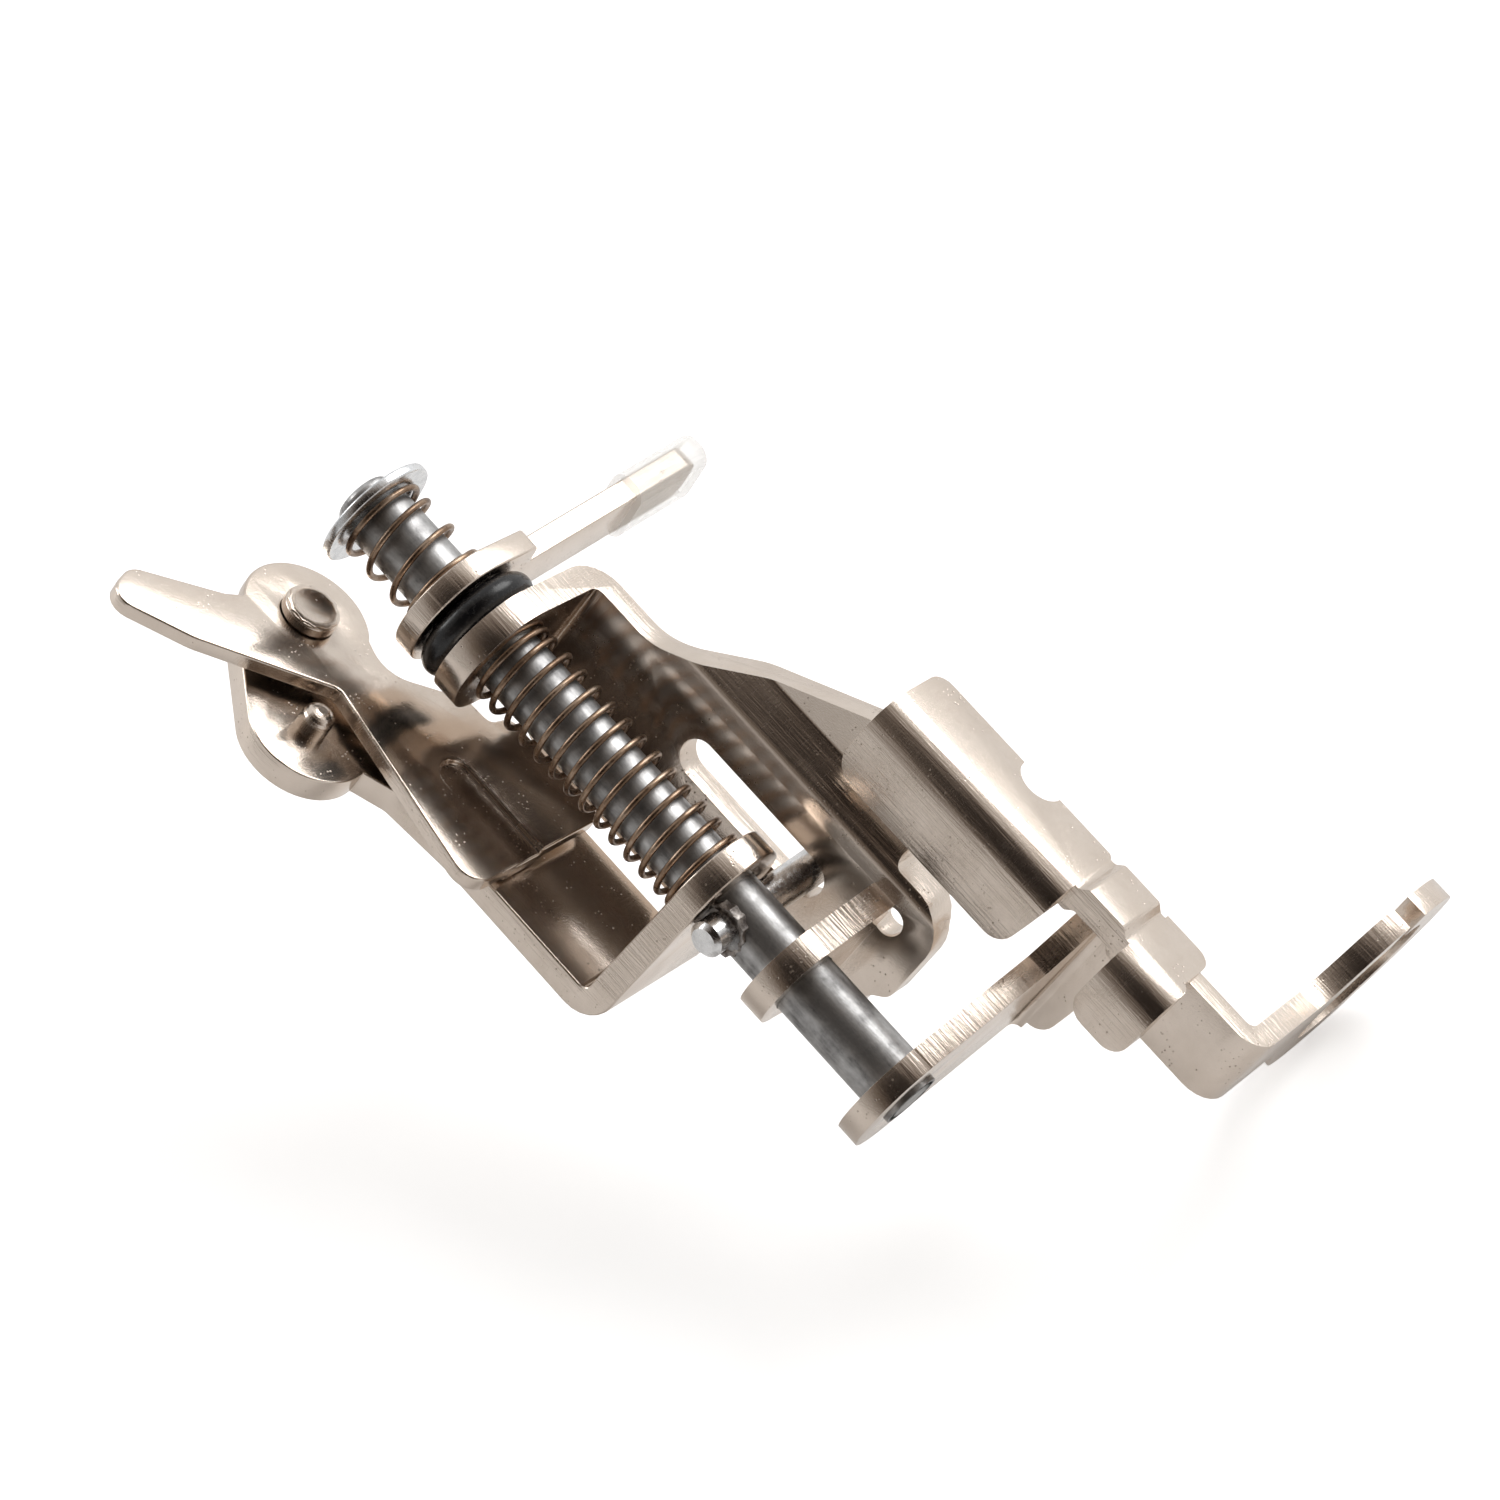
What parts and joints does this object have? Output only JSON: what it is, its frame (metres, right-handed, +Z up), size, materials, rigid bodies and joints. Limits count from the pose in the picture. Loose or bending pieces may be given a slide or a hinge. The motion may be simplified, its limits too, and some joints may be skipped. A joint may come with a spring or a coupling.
{
  "type": "spring-loaded embroidery presser foot",
  "caption": "Hopping embroidery presser foot: open-toe ring on a sprung plunger, bent-plate frame and bracket, needle clamp arm and finger lever.",
  "frame": {"origin": "centre of the needle opening, in the plane of the sole", "axes": "+Z up along the needle and the plunger, +X towards the front of the machine along the toe, +Y to the right of the presser bar"},
  "size_m": [0.0424, 0.0226, 0.0538],
  "materials": {
    "nickel_plate": "warm bright nickel plating",
    "shaft_steel": "burnished, faintly mottled",
    "pin_steel": "bright",
    "spring_wire": "bronze-brown tempered wire",
    "zinc_plate": "bright zinc",
    "black_rubber": "glossy",
    "clear_sleeve": "clear soft plastic tube"
  },
  "bodies": {
    "frame": {"plunger_frame": "nickel_plate", "presser_bar_bracket": "nickel_plate", "bumper_ring": "black_rubber", "main_spring": "spring_wire"},
    "plunger": {"plunger_shaft": "shaft_steel", "cross_pin": "pin_steel", "sewing_foot": "nickel_plate", "top_washer": "zinc_plate", "lift_spring": "spring_wire"},
    "arm": {"needle_clamp_arm": "nickel_plate", "arm_sleeve": "clear_sleeve"},
    "lifter": {"lifter_bracket": "nickel_plate", "stop_rivet": "nickel_plate", "lever_pivot_rivet": "nickel_plate"},
    "lever": {"finger_lever": "nickel_plate"}
  },
  "joints": [
    {"name": "plunger_slide", "type": "slide", "parent": "frame", "child": "plunger", "axis": [0, 0, 1], "range_m": [0, 0.0028], "stiffness_N_per_m": 100, "springref_m": -0.009, "deforming": ["main_spring"]},
    {"name": "arm_slide", "type": "slide", "parent": "plunger", "child": "arm", "axis": [0, 0, 1], "range_m": [0, 0.003], "stiffness_N_per_m": 330, "springref_m": -0.001, "deforming": ["lift_spring"]},
    {"name": "lifter_slide", "type": "slide", "parent": "frame", "child": "lifter", "axis": [0, 0, 1], "range_m": [0, 0.0028], "deforming": ["main_spring"]},
    {"name": "lever_hinge", "type": "hinge", "parent": "lifter", "child": "lever", "pos_m": [-0.0267, 0.0135, 0.04765], "axis": [0, 1, 0], "range_deg": [-2, 6]}
  ],
  "couplings": [
    {"joint": "lifter_slide", "follows": "plunger_slide", "ratio": 1}
  ]
}
